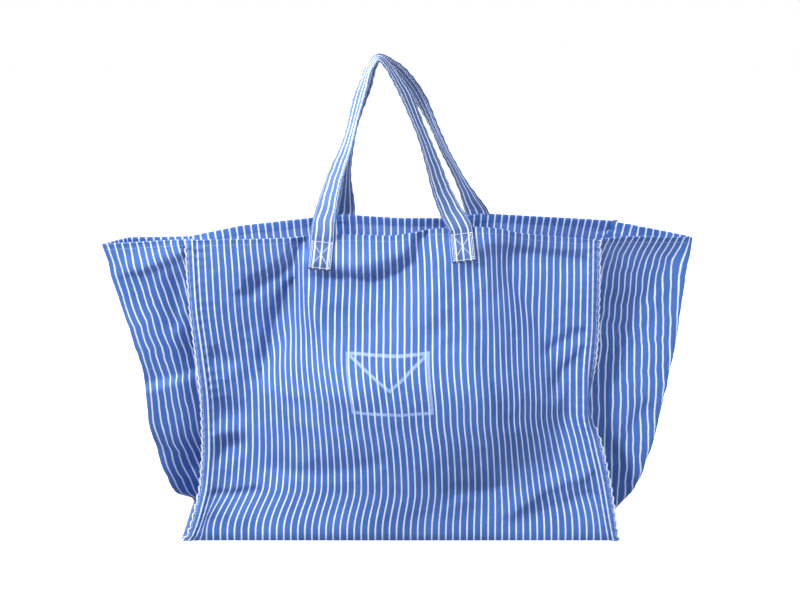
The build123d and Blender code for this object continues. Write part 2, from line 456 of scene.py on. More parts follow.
# ---- front panel ----
# At each height, its facets from left to right: (width in millimetres, slope in degrees).
# A facet with a positive slope recedes to the right.
FRONT_FACETS = {
    0.000: ((64, 0), (116, 0), (124, 0), (106, 0), (98, 0), (92, 0)),
    0.012: ((64, 4), (116, -3), (124, -2), (106, 2), (98, 4), (92, -4)),
    0.066: ((67, 20), (113, -15), (120, -9), (106, 11), (98, 17), (74, -14)),
    0.200: ((62, 22), (158, -30), (140, -11), (79, 17), (114, 36), (28, -22)),
    0.300: ((128, 19), (58, -43), (110, -3), (118, 4), (98, 34), (68, -12)),
    0.377: ((140, 7), (22, -50), (128, 2), (128, 2), (40, 40), (116, -7)),
    0.425: ((142, 1), (22, -6), (128, 0), (128, 0), (40, 4), (112, 0)),
}
FACET_BLUR = {0.0: 0.040, 0.2: 0.040, 0.3: 0.026, 0.377: 0.014, 0.425: 0.014}
SWEEP = (0.014, 0.072)       # heights between which the stripes sweep aside
DEPTH_SHARE = 0.85           # the folds' depth against their full slope
FRONT_RIM = (
    (0.0, 0.420), (0.20, 0.422), (0.36, 0.428), (0.50, 0.4265), (0.54, 0.430), (0.62, 0.437),
    (0.71, 0.439), (0.76, 0.437), (0.82, 0.430), (1.0, 0.421),
)
FLAT_WIDTH = 0.600
FRONT_SOFT = -0.148              # folds that stand out past here are held back
FRONT_SPARE = 0.010              # by no more than this


def summed(steps):
    """Running totals along each row, from 0."""
    return np.concatenate([np.zeros((len(steps), 1)), np.cumsum(steps, axis=1)], axis=1)


def front_sections(shares, places):
    """The front panel as a grid of points, from facets unrolled at each height."""
    heights = np.array(sorted(FRONT_FACETS))
    widths = np.array([[w for w, _ in FRONT_FACETS[h]] for h in heights], float)
    slopes = np.array([[s for _, s in FRONT_FACETS[h]] for h in heights], float)
    z = shares * RIM
    row_widths = np.stack([through(heights, column, z) for column in widths.T], axis=-1)
    row_slopes = np.stack([through(heights, column, z) for column in slopes.T], axis=-1)
    row_widths *= 1 / row_widths.sum(axis=1, keepdims=True)
    blur = np.interp(z, list(FACET_BLUR), list(FACET_BLUR.values())) / FLAT_WIDTH
    slope = np.repeat(row_slopes[:, :1], len(places), axis=1)
    edge = np.zeros(len(shares))
    for number in range(row_widths.shape[1] - 1):
        edge = edge + row_widths[:, number]
        turn = row_slopes[:, number + 1] - row_slopes[:, number]
        step = (places[None, :] - edge[:, None]) / blur[:, None] + 0.5
        slope = slope + turn[:, None] * eased(step)
    slope = np.radians(slope)
    steps = np.diff(places) * FLAT_WIDTH
    middle = (slope[:, 1:] + slope[:, :-1]) / 2
    run = summed(np.cos(middle) * steps)
    rise = summed(np.sin(middle) * steps)
    run = run / run[:, -1:]
    left, right = seam("front_left", shares), seam("front_right", shares)
    x = left[:, :1] + (right[:, :1] - left[:, :1]) * run
    edge_away = from_edge(places, FLAT_WIDTH)
    swept = eased((z - SWEEP[0]) / (SWEEP[1] - SWEEP[0]))[:, None]
    straight = (1 - swept) * eased(edge_away / SEAM_HOLD)[None, :]
    x += ((places - 0.5)[None, :] * FLAT_WIDTH - x) * straight
    rise = rise * DEPTH_SHARE * (0.65 + 0.35 * eased(z / 0.16))[:, None]
    y = left[:, 1:2] + rise + (right[:, 1:2] - left[:, 1:2] - rise[:, -1:]) * run
    z = shares[:, None] * through(*zip(*FRONT_RIM), places)[None, :]
    z[:, 0] = shares * SEAM_TOP["front_left"]
    z[:, -1] = shares * SEAM_TOP["front_right"]
    return np.stack([x, y, z], axis=-1)


# Creases of the front panel: the points (x, z) that each follows, how wide it is on the left and
# on the right of its direction, and how far it goes in (a positive depth) or stands out.
FRONT_CREASES = (
    (((-0.100, 0.372), (-0.050, 0.362), (-0.014, 0.372), (0.016, 0.396), (0.030, 0.424)),
     0.007, 0.016, 0.0110),
    (((-0.130, 0.392), (-0.060, 0.385), (0.005, 0.405)), 0.012, 0.012, -0.0050),
    (((-0.143, 0.414), (-0.157, 0.388), (-0.182, 0.368), (-0.212, 0.354)), 0.020, 0.007, 0.0120),
    (((-0.160, 0.350), (-0.183, 0.300), (-0.196, 0.250)), 0.020, 0.007, 0.0090),
    (((-0.262, 0.255), (-0.244, 0.247)), 0.012, 0.012, 0.0075),
    (((-0.262, 0.182), (-0.236, 0.172)), 0.016, 0.016, 0.0110),
    (((-0.262, 0.122), (-0.232, 0.128)), 0.014, 0.014, 0.0105),
    (((-0.266, 0.150), (-0.245, 0.150)), 0.009, 0.009, -0.0045),
    (((0.128, 0.404), (0.190, 0.398), (0.262, 0.392)), 0.008, 0.018, 0.0085),
    (((0.212, 0.262), (0.250, 0.285), (0.268, 0.290)), 0.008, 0.008, 0.0070),
    (((0.216, 0.215), (0.262, 0.262)), 0.007, 0.012, 0.0060),
    (((-0.175, 0.092), (-0.110, 0.096), (-0.040, 0.108)), 0.018, 0.010, 0.0065),
    (((0.075, 0.068), (0.130, 0.070)), 0.016, 0.010, 0.0060),
    (((0.158, 0.040), (0.205, 0.070), (0.262, 0.092)), 0.016, 0.009, -0.0075),
    (((0.165, 0.018), (0.225, 0.045), (0.275, 0.062)), 0.010, 0.010, 0.0055),
    (((-0.268, 0.066), (-0.238, 0.062), (-0.205, 0.066)), 0.005, 0.007, 0.0055),
    (((-0.262, 0.040), (-0.225, 0.030)), 0.009, 0.009, -0.0045),
    (((0.080, 0.395), (0.030, 0.320), (-0.004, 0.250)), 0.022, 0.022, -0.0060),
    (((-0.128, 0.352), (-0.110, 0.300), (-0.084, 0.265)), 0.010, 0.016, -0.0050),
    (((0.110, 0.330), (0.124, 0.250), (0.150, 0.180)), 0.020, 0.010, 0.0060),
)


def crease_depth(x, z, creases):
    """How far the creases press the cloth in at each point."""
    depth = np.zeros_like(x)
    for path, left_width, right_width, amount in creases:
        nearest = np.full(x.shape, np.inf)
        width = np.full(x.shape, left_width)
        for (ax, az), (bx, bz) in zip(path, path[1:]):
            length = (bx - ax) ** 2 + (bz - az) ** 2
            along = np.clip(((x - ax) * (bx - ax) + (z - az) * (bz - az)) / length, 0, 1)
            away = (x - ax - along * (bx - ax)) ** 2 + (z - az - along * (bz - az)) ** 2
            on_left = (bx - ax) * (z - az) - (bz - az) * (x - ax) > 0
            closer = away < nearest
            width = np.where(closer, np.where(on_left, left_width, right_width), width)
            nearest = np.minimum(nearest, away)
        depth += amount * np.exp(-nearest / width**2)
    return depth


PUCKER = 0.0027                  # height of the ripples beside a seam
PUCKER_STEP = 0.0125             # from one ripple to the next
PUCKER_REACH = 0.014             # how far into the cloth they fade


def seam_pucker(grid, places, length, seed):
    """Ripples across the cloth, drawn up by the stitching at both its edges."""
    along = grid[..., 2]
    ripple = np.zeros(along.shape)
    for number, away in enumerate((places * length, (1 - places) * length)):
        phase = 2.2 * roughness(grid * [0, 0, 1] + [seed + number, 0, 0], 24, seed + 3)
        wave = np.sin(2 * pi * along / PUCKER_STEP + phase)
        strength = 0.5 + 0.5 * roughness(grid * [0, 0, 1] + [0, seed + number, 0], 17, seed + 5)
        ripple += wave * strength * np.exp(-away / PUCKER_REACH)[None, :]
    return PUCKER * ripple


def crumple(points, scale, seed):
    """Crisp wrinkles: smooth noise folded about its middle, from 0 at a crease to about 1."""
    return np.abs(roughness(points, scale, seed)) * 2


def front_grid(places):
    grid = front_sections(SHARES, places)
    x, z = grid[..., 0], grid[..., 2]
    edge = from_edge(places, FLAT_WIDTH)
    free = eased(edge / SEAM_HOLD)[None, :]
    rim_free = eased((RIM - z) / 0.05) * 0.8 + 0.2
    base_free = eased(z / BASE_HOLD)
    grid[..., 1] += crease_depth(x, z, FRONT_CREASES) * eased(edge / 0.012)[None, :] * base_free
    uneven = 0.0060 * roughness(grid * [1, 0, 0.6], 12, 1) + 0.0034 * crumple(grid * [1, 0, 0.7], 19, 2)
    uneven += 0.0012 * crumple(grid * [1, 0, 0.9], 52, 3)
    grid[..., 1] += uneven * free * rim_free * base_free
    grid[..., 1] += seam_pucker(grid, places, FLAT_WIDTH, 11) * base_free
    hem_wave = np.sin(2 * pi * x / 0.017 + 2.5 * roughness(grid * [1, 0, 0], 20, 8))
    grid[..., 1] += 0.0007 * hem_wave * np.exp(-((RIM - 0.008 - z) / 0.010) ** 2)
    forward = np.maximum(FRONT_SOFT - grid[..., 1], 0)
    grid[..., 1] += forward - FRONT_SPARE * np.tanh(forward / FRONT_SPARE)
    # the cloth rolls under at the base
    roll_height = 0.014
    roll = 0.009 * (1 - z / roll_height)
    low = z < roll_height
    grid[..., 1][low] += roll[low] ** 2 / 0.018
    return grid


# ---- back panel ----
BACK_BEND = ((0.0, 0.05), (0.2, 0.18), (0.3, 0.28), (0.425, 0.335))
BACK_RIM = (
    (0.0, 0.412), (0.12, 0.424), (0.36, 0.434), (0.5, 0.429), (0.60, 0.429), (0.70, 0.436), (1.0, 0.426),
)


def back_grid(places):
    """From the left seam to the right one: two stretches that meet at a soft upright bend."""
    left, right = seam("back_left", SHARES), seam("back_right", SHARES)
    bend_share = np.interp(SHARES * RIM, *zip(*BACK_BEND))[:, None]
    bend_x = left[:, :1] + (right[:, :1] - left[:, :1]) * bend_share
    bend_y = right[:, 1:2] + 0.002
    at = places[None, :]
    width = 0.16

    def along(low, middle, high):
        first = low + (middle - low) * at / bend_share
        second = middle + (high - middle) * (at - bend_share) / (1 - bend_share)
        return first + (second - first) * eased((at - bend_share) / width + 0.5)

    x = along(left[:, :1], bend_x, right[:, :1])
    y = along(left[:, 1:2], bend_y, right[:, 1:2])
    x += (left[:, :1] - x[:, :1]) * (1 - at) + (right[:, :1] - x[:, -1:]) * at
    y += (left[:, 1:2] - y[:, :1]) * (1 - at) + (right[:, 1:2] - y[:, -1:]) * at
    rim = np.interp(places, *zip(*BACK_RIM))
    z = SHARES[:, None] * rim[None, :]
    grid = np.stack([x, y, z], axis=-1)
    edge = from_edge(places, FLAT_WIDTH)
    base_free = eased(z / BASE_HOLD)
    free = eased(edge / 0.04)[None, :] * base_free
    hang = eased((RIM - z) / 0.08) * 0.8 + 0.2
    uneven = 0.0080 * roughness(grid * [1, 0, 0.5], 9, 21) + 0.0036 * crumple(grid * [1, 0, 0.6], 20, 22)
    uneven += 0.0012 * crumple(grid, 50, 23)
    grid[..., 1] += (uneven * hang - 0.012 * np.sin(pi * z / RIM) * eased(edge / 0.2)[None, :]) * free
    grid[..., 1] -= seam_pucker(grid, places, FLAT_WIDTH, 31) * base_free
    return grid


# ---- gussets: rails from the front seam to the back one ----
# Each rail: (share of the height, place across the cloth, x, y)
LEFT_RAILS = (
    ((0.0, 0.115, -0.300, -0.025), (0.12, 0.094, -0.288, -0.044), (0.25, 0.066, -0.277, -0.053),
     (0.37, 0.046, -0.273, -0.060), (0.50, 0.040, -0.276, -0.054), (0.70, 0.034, -0.288, -0.046),
     (0.80, 0.028, -0.296, -0.048), (1.0, 0.014, -0.303, -0.056)),
    ((0.0, 0.135, -0.300, -0.005), (0.06, 0.135, -0.306, -0.018), (0.12, 0.135, -0.328, -0.062),
     (0.25, 0.135, -0.345, -0.084), (0.37, 0.135, -0.357, -0.092), (0.55, 0.135, -0.366, -0.090),
     (0.71, 0.135, -0.384, -0.078), (0.82, 0.135, -0.400, -0.066), (1.0, 0.135, -0.421, -0.058)),
    ((0.0, 0.200, -0.300, 0.060), (0.25, 0.203, -0.322, 0.044), (0.50, 0.203, -0.341, 0.030),
     (0.80, 0.203, -0.372, 0.012), (1.0, 0.200, -0.391, -0.002)),
)
LEFT_RIM = ((0.0, 0.420), (0.12, 0.419), (0.47, 0.413), (0.70, 0.413), (1.0, 0.412))
RIGHT_RAILS = (
    ((0.0, 0.060, 0.300, -0.080), (0.10, 0.054, 0.292, -0.079), (0.25, 0.042, 0.281, -0.076),
     (0.45, 0.030, 0.267, -0.066), (0.63, 0.029, 0.268, -0.054), (0.80, 0.022, 0.272, -0.051),
     (0.92, 0.014, 0.272, -0.051), (1.0, 0.008, 0.278, -0.059)),
    ((0.0, 0.065, 0.300, -0.075), (0.10, 0.062, 0.300, -0.076), (0.25, 0.055, 0.294, -0.072),
     (0.45, 0.045, 0.283, -0.062), (0.57, 0.050, 0.289, -0.048), (0.64, 0.072, 0.311, -0.037),
     (0.71, 0.093, 0.332, -0.032), (0.80, 0.117, 0.356, -0.027), (0.88, 0.138, 0.378, -0.022),
     (0.95, 0.146, 0.396, -0.018), (1.0, 0.147, 0.408, -0.017)),
    ((0.0, 0.070, 0.300, -0.070), (0.07, 0.075, 0.3135, -0.078), (0.10, 0.084, 0.323, -0.082),
     (0.155, 0.101, 0.3405, -0.086), (0.27, 0.119, 0.358, -0.086), (0.385, 0.133, 0.372, -0.080),
     (0.50, 0.142, 0.383, -0.074), (0.66, 0.157, 0.397, -0.056), (0.78, 0.163, 0.406, -0.040),
     (0.90, 0.164, 0.415, -0.024), (1.0, 0.163, 0.422, -0.012)),
    ((0.0, 0.200, 0.300, 0.060), (0.25, 0.205, 0.326, 0.032), (0.50, 0.208, 0.340, 0.026),
     (0.80, 0.222, 0.356, 0.030), (1.0, 0.226, 0.368, 0.026)),
)
RIGHT_RIM = ((0.0, 0.421), (0.20, 0.422), (0.57, 0.415), (0.80, 0.421), (1.0, 0.426))
GUSSET_WIDTH = 0.285
GUSSET_CREASES = {
    "left": (
        (((-0.372, 0.376), (-0.314, 0.398)), 0.020, 0.006, -0.0060),
        (((-0.366, 0.215), (-0.293, 0.230)), 0.060, 0.006, 0.0110),
        (((-0.318, 0.355), (-0.322, 0.300)), 0.010, 0.016, 0.0060),
        (((-0.352, 0.130), (-0.300, 0.085)), 0.012, 0.012, 0.0055),
    ),
    "right": (
        (((0.384, 0.350), (0.345, 0.300), (0.320, 0.260)), 0.008, 0.020, -0.0040),
        (((0.352, 0.175), (0.310, 0.110)), 0.012, 0.012, 0.0050),
    ),
}


def gusset_grid(side, places):
    """A gusset's grid, from its front seam to its back one."""
    rails = LEFT_RAILS if side == "left" else RIGHT_RAILS
    rim = LEFT_RIM if side == "left" else RIGHT_RIM
    front, back = seam(f"front_{side}", SHARES), seam(f"back_{side}", SHARES)
    across = [np.zeros(len(SHARES))]
    xs, ys = [front[:, 0]], [front[:, 1]]
    for rail in rails:
        shares, cloth_places, rail_x, rail_y = zip(*rail)
        across.append(through(shares, cloth_places, SHARES) / GUSSET_WIDTH)
        xs.append(through(shares, rail_x, SHARES))
        ys.append(through(shares, rail_y, SHARES))
    across.append(np.ones(len(SHARES)))
    xs.append(back[:, 0])
    ys.append(back[:, 1])
    across, xs, ys = (np.array(values).T for values in (across, xs, ys))
    softness = 0.024
    reach = np.minimum(softness, from_edge(places, 1))
    grid = np.zeros((len(SHARES), len(places), 3))
    samples = np.linspace(-1, 1, 9)
    weights = 1 - np.abs(samples) * 0.75
    weights = weights / weights.sum()
    for row in range(len(SHARES)):
        for sample, weight in zip(samples, weights):
            at = places + sample * reach
            grid[row, :, 0] += weight * np.interp(at, across[row], xs[row])
            grid[row, :, 1] += weight * np.interp(at, across[row], ys[row])
    tops = np.interp(places, *zip(*rim))
    tops[0], tops[-1] = SEAM_TOP[f"front_{side}"], SEAM_TOP[f"back_{side}"]
    grid[..., 2] = SHARES[:, None] * tops[None, :]
    edge = from_edge(places, GUSSET_WIDTH)
    base_free = eased(grid[..., 2] / BASE_HOLD)
    free = eased(edge / SEAM_HOLD)[None, :] * base_free
    front_half = eased((0.5 - places[None, :]) / 0.1 + 0.5)
    pressed = crease_depth(grid[..., 0], grid[..., 2], GUSSET_CREASES[side])
    grid[..., 1] += pressed * free * front_half
    way = -1 if side == "left" else 1
    seed = 41 if side == "left" else 51
    uneven = 0.0040 * roughness(grid * [0.6, 1, 0.6], 13, seed) + 0.0030 * crumple(grid, 22, seed + 1)
    uneven += 0.0010 * crumple(grid, 55, seed + 2)
    pucker = seam_pucker(grid, places, GUSSET_WIDTH, seed + 3)
    moved = (uneven * free + pucker * base_free) * 0.7
    grid[..., 0] += way * moved
    grid[..., 1] -= moved * np.cos(pi * places)[None, :]
    return grid


# ---- meshes ----
def put_flat(mesh, flat):
    """Gives a mesh its UV map from the flat coordinates of its points."""
    layer = mesh.uv_layers.new(name="Flat")
    indices = np.empty(len(mesh.loops), int)
    mesh.loops.foreach_get("vertex_index", indices)
    layer.data.foreach_set("uv", flat.reshape(-1, 2)[indices].ravel())


def grid_mesh(name, grid, flat, material, flip=False, thickness=CLOTH, offset=-1):
    """A sheet of cloth with thickness from a grid of points and its flat coordinates."""
    rows, columns = grid.shape[:2]
    mesh = bpy.data.meshes.new(name)
    corner = np.arange(rows * columns).reshape(rows, columns)
    faces = np.stack([corner[:-1, :-1], corner[:-1, 1:], corner[1:, 1:], corner[1:, :-1]], axis=-1)
    faces = faces.reshape(-1, 4)
    if flip:
        faces = faces[:, ::-1]
    mesh.from_pydata(grid.reshape(-1, 3).tolist(), [], faces.tolist())
    put_flat(mesh, flat)
    mesh.polygons.foreach_set("use_smooth", np.ones(len(faces), bool))
    mesh.materials.append(material)
    piece = add_object(name, mesh)
    solid = piece.modifiers.new("thickness", "SOLIDIFY")
    solid.thickness = thickness
    solid.offset = offset
    made = piece.evaluated_get(bpy.context.evaluated_depsgraph_get())
    piece.data = bpy.data.meshes.new_from_object(made)
    piece.modifiers.clear()
    piece.data.set_sharp_from_angle(angle=radians(60))
    return piece


def coordinates(across, down):
    """Flat coordinates of a grid from its columns' places and its rows' places."""
    return np.stack(np.broadcast_arrays(across[None, :], down[:, None]), axis=-1)


def across_body(places):
    """Flat coordinates across the body cloth, set so that no stripe lies on a seam."""
    return (places - 0.5) * FLAT_WIDTH + STRIPE / 2


def row_at(grid, share):
    """The points of a wall at one share of its height."""
    return np.array([point_on(column, SHARES, share) for column in grid.transpose(1, 0, 2)])


def body_cloth(places, front, back, material):
    """Front panel, base and back panel: one strip from the front rim to the back one."""
    base_rows = np.linspace(0, 1, 30)[1:-1]
    start, end = front[0], back[0]
    base = start[None] + (end - start)[None] * base_rows[:, None, None]
    base[..., 2] = 0.0006
    grid = np.concatenate([front[::-1], base, back], axis=0)
    base_depth = 2 * DEPTH_HALF
    front_down = (1 - SHARES[::-1]) * PANEL_HEIGHT
    back_down = PANEL_HEIGHT + base_depth + SHARES * PANEL_HEIGHT
    down = np.concatenate([front_down, PANEL_HEIGHT + base_rows * base_depth, back_down])
    piece = grid_mesh("body_cloth", grid, coordinates(across_body(places), down), material, flip=True)
    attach(piece, "bag")
    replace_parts(piece, "front_panel", "base_panel", "back_panel")
    return piece


def gusset_cloth(side, places, grid, material):
    flat = coordinates(places * GUSSET_WIDTH + STRIPE / 2, SHARES * PANEL_HEIGHT)
    piece = grid_mesh(f"{side}_gusset_cloth", grid, flat, material, flip=side == "left")
    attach(piece, "bag")
    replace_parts(piece, f"{side}_gusset")


def level_normals(grid, column, way):
    """Level unit normals near a wall's rim, turned so that a column's one points to way in y."""
    up = np.gradient(grid, axis=0)
    across = np.gradient(grid, axis=1)
    normals = np.cross(across, up)
    normals = (normals / np.maximum(np.linalg.norm(normals, axis=-1, keepdims=True), 1e-12))[-3]
    normals[:, 2] = 0
    normals /= np.linalg.norm(normals, axis=1, keepdims=True)
    return normals if normals[column, 1] * way > 0 else -normals


# ---- stitches ----
class Stitches:
    """Short stitches of round thread, gathered into one mesh."""

    SIDES = 6
    # each ring of a stitch: its share of the length, then its lift and its size in radii
    BOW = ((0.0, -0.9, 0.55), (0.2, 0.55, 1.0), (0.5, 0.9, 1.0), (0.8, 0.55, 1.0), (1.0, -0.9, 0.55))

    def __init__(self, name):
        self.name = name
        self.points = []
        self.faces = []

    def add(self, start, end, out, radius=THREAD):
        """One stitch from start to end, bowed outwards."""
        start, end, out = Vector(start), Vector(end), Vector(out).normalized()
        along = (end - start).normalized()
        side = along.cross(out).normalized()
        first = len(self.points)
        for at, lift, size in self.BOW:
            middle = start.lerp(end, at) + out * radius * lift
            for number in range(self.SIDES):
                angle = 2 * pi * number / self.SIDES
                turned = side * cos(angle) + out * sin(angle)
                self.points.append(middle + turned * radius * size)
        for ring in range(len(self.BOW) - 1):
            low = first + ring * self.SIDES
            high = low + self.SIDES
            for number in range(self.SIDES):
                after = (number + 1) % self.SIDES
                self.faces.append((low + number, low + after, high + after, high + number))
        last = first + (len(self.BOW) - 1) * self.SIDES
        self.faces.append(tuple(range(first + self.SIDES - 1, first - 1, -1)))
        self.faces.append(tuple(range(last, last + self.SIDES)))

    def run(self, points, outs, step=STITCH, share=0.78, radius=THREAD):
        """A row of stitches along a line of points."""
        points = np.asarray(points, float)
        outs = np.asarray(outs, float)
        at = distances(points)
        count = max(1, int(at[-1] / step))
        for number in range(count):
            low = (number + (1 - share) / 2) * at[-1] / count
            high = low + share * at[-1] / count
            out = point_on(outs, at, (low + high) / 2)
            self.add(point_on(points, at, low), point_on(points, at, high), out, radius)

    def piece(self, material, body="bag"):
        mesh = bpy.data.meshes.new(self.name)
        mesh.from_pydata([tuple(p) for p in self.points], [], self.faces)
        mesh.polygons.foreach_set("use_smooth", np.ones(len(self.faces), bool))
        mesh.materials.append(material)
        piece = add_object(self.name, mesh)
        if body:
            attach(piece, body)
        return piece


# ---- corner fins ----
FIN_STRIPE = 0.0022              # a fin's first white stripe, from its seam
# The way each fin points at shares of the height, in degrees from straight sideways; a
# positive angle turns it to the back.
FIN_TURNS = {
    "front_left": ((0.0, 0), (0.2, 5), (0.5, -8), (0.75, 12), (1.0, 5)),
    "front_right": ((0.0, -6), (0.30, 0), (0.38, 45), (0.44, 82), (0.50, 60), (0.60, 10), (1.0, 0)),
    "back_left": ((0.0, 0), (0.5, -25), (1.0, 30)),
    "back_right": ((0.0, 0), (0.5, -15), (1.0, -20)),
}


def corner_fin(name, material, stitches):
    """The turned-out seam allowance of one corner, overlocked at its edge and sewn twice."""
    side = -1 if name.endswith("left") else 1
    base = seam(name, SHARES)
    turns = np.radians(np.interp(SHARES, *zip(*FIN_TURNS[name])))
    if name.startswith("back"):
        turns = -turns
    across = np.linspace(0, 1, 7)
    wave_place = on_axis(2, base[:, 2])
    phase = 2.0 * roughness(wave_place, 26, len(name) + side)
    wave = np.sin(2 * pi * base[:, 2] / 0.0115 + phase)
    sway = roughness(wave_place, 14, len(name) + 4 + side)
    taper = FIN * (0.82 + 0.18 * eased(SHARES / 0.15))  # narrower near the base
    grid = np.zeros((len(SHARES), len(across), 3))
    for column, share in enumerate(across):
        angle = turns + radians(16) * sway * share
        width = taper * (1 + 0.10 * wave * share) * share
        grid[:, column, 0] = base[:, 0] + side * width * np.cos(angle)
        grid[:, column, 1] = base[:, 1] + width * np.sin(angle) + 0.0011 * wave * (0.3 + 0.7 * share)
        grid[:, column, 2] = base[:, 2] + 0.0012 * wave * share
    grid[..., 2] = np.clip(grid[..., 2], 0.0016, None)
    flat = coordinates(FLAT_WIDTH / 2 - FIN_STRIPE + across * FIN, SHARES * PANEL_HEIGHT)
    piece = grid_mesh(f"{name}_fin", grid, flat, material, flip=side < 0, thickness=FIN_THICK, offset=0)
    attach(piece, "bag")
    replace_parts(piece, f"{name}_seam")
    face = -1 if name.startswith("front") else 1
    outs = np.zeros((len(SHARES), 3))
    outs[:, 1] = face
    lift = np.array([0, face * (FIN_THICK / 2 + THREAD_OFF), 0])
    for column in (1, 4):
        line = grid[:, column] + lift
        stitches.run(line[2:], outs[2:], radius=THREAD * 0.4)
    # overlock thread wraps the outer edge; it is thinner high up on the left fins
    edge, inner = grid[:, -1], grid[:, -3]
    for share in np.linspace(0.02, 0.995, OVERLOCKS):
        outer = point_on(edge, SHARES, share)
        inside = point_on(inner, SHARES, share + 0.003)
        quiet = 0.22 * eased((share - 0.45) / 0.15) if side < 0 else 0
        stitches.add(inside + lift, outer + lift * 0.6, (0, face, 0), THREAD * (0.42 - quiet))


def base_fin(side, material):
    """The seam allowance that stands out beside the base."""
    way = -1 if side == "left" else 1
    along = spaced(2 * DEPTH_HALF - 0.016, 0.005, 0.004, 0.02) - DEPTH_HALF + 0.008
    across = np.linspace(0, 1, 5)
    points = np.zeros((len(along), len(across), 3))
    phase = 2.0 * roughness(on_axis(1, along), 30, 61 + way)
    wave = np.sin(2 * pi * along / 0.012 + phase)
    for column, share in enumerate(across):
        points[:, column, 0] = way * (BASE_HALF + 0.0008 + BASE_FIN * share * (1 + 0.08 * wave))
        points[:, column, 1] = along
        points[:, column, 2] = 0.0016 + 0.0009 * (1 + wave) * share
    flat = coordinates(across * BASE_FIN, along)
    flip = side == "left"
    piece = grid_mesh(f"{side}_base_fin", points, flat, material, flip, thickness=BASE_FIN_THICK, offset=0)
    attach(piece, "bag")
    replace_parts(piece, f"{side}_base_seam")


# ---- hems ----
# how far inward and up each row of the roll over the rim lies
HEM_ROLL = ((-0.0002, -0.0006), (0.0001, 0.0004), (0.0007, 0.0007), (0.0012, 0.0003))


def hem_strip(name, node, grid, flat_across, inward, material, stitches):
    """The cloth folded over the rim and sewn down inside, with its row of stitches."""
    top = grid[-1]
    drops = np.linspace(0, 1, 5)
    lower = row_at(grid, 1 - HEM / RIM)
    rows = [top + inward * aside + [0, 0, up] for aside, up in HEM_ROLL]
    for drop in drops:
        row = top + (lower - top) * drop + inward * (0.0014 - 0.0004 * drop)
        rows.append(row + [0, 0, -0.0010 * (1 - drop)])
    points = np.array(rows)
    down = np.concatenate([[-0.002, -0.001, 0.0, 0.001], 0.002 + drops * HEM])
    piece = grid_mesh(name, points, coordinates(flat_across, down), material, flip=True, offset=1)
    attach(piece, "bag")
    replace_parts(piece, node)
    line = row_at(grid, 1 - RIM_ROW / RIM)
    stitches.run(line + inward * 0.00005, -inward, step=LONG_STITCH, radius=THREAD * 0.3)


# ---- straps ----
# (x, height above the rim) of each strap's middle line, from the left foot to the right one
FRONT_PATH = (
    (-0.109, 0.0), (-0.103, 0.040), (-0.091, 0.083), (-0.074, 0.128), (-0.061, 0.177), (-0.050, 0.213),
    (-0.042, 0.235), (-0.030, 0.248), (-0.018, 0.238), (-0.008, 0.223), (0.004, 0.203), (0.017, 0.175),
    (0.029, 0.146), (0.040, 0.118), (0.050, 0.090), (0.061, 0.062), (0.072, 0.037), (0.086, 0.0),
)
BACK_PATH = (
    (-0.084, 0.0), (-0.080, 0.058), (-0.075, 0.105), (-0.066, 0.152), (-0.053, 0.198), (-0.042, 0.232),
    (-0.030, 0.248), (-0.011, 0.236), (0.010, 0.214), (0.026, 0.190), (0.040, 0.163), (0.053, 0.134),
    (0.065, 0.109), (0.077, 0.087), (0.090, 0.062), (0.103, 0.035), (0.115, 0.0),
)
# how far each strap has turned from facing outwards, in degrees, at shares of its rise
FRONT_TURN = ((0.0, 0), (0.16, 32), (0.37, 52), (0.62, 67), (0.78, 64), (0.90, 74), (1.0, 82))
BACK_TURN = ((0.0, 0), (0.10, 34), (0.20, 56), (0.30, 66), (0.54, 69), (0.78, 58), (0.90, 62), (1.0, 76))
STRAP_STEP = 0.0026
FOOT_ROWS = 12                   # rows at each end that the edges' stitches leave out
FIRST_STRIPE = 0.0197            # sets where the white stripes lie across a strap


def surface_y(tree, x, z, face):
    """Where a line along Y meets a wall, from outside."""
    hit = tree.ray_cast(Vector((x, face * 1.0, z)), Vector((0, -face, 0)))
    return hit[0].y if hit[0] is not None else face * 0.062


def rim_height(tree, x, face):
    """How high a wall stands at x."""
    reach = 0.96  # ends before the wall behind
    for height in np.arange(RIM + 0.02, RIM - 0.02, -0.0005):
        if tree.ray_cast(Vector((x, face * 1.0, height)), Vector((0, -face, 0)), reach)[0] is not None:
            return height
    return RIM


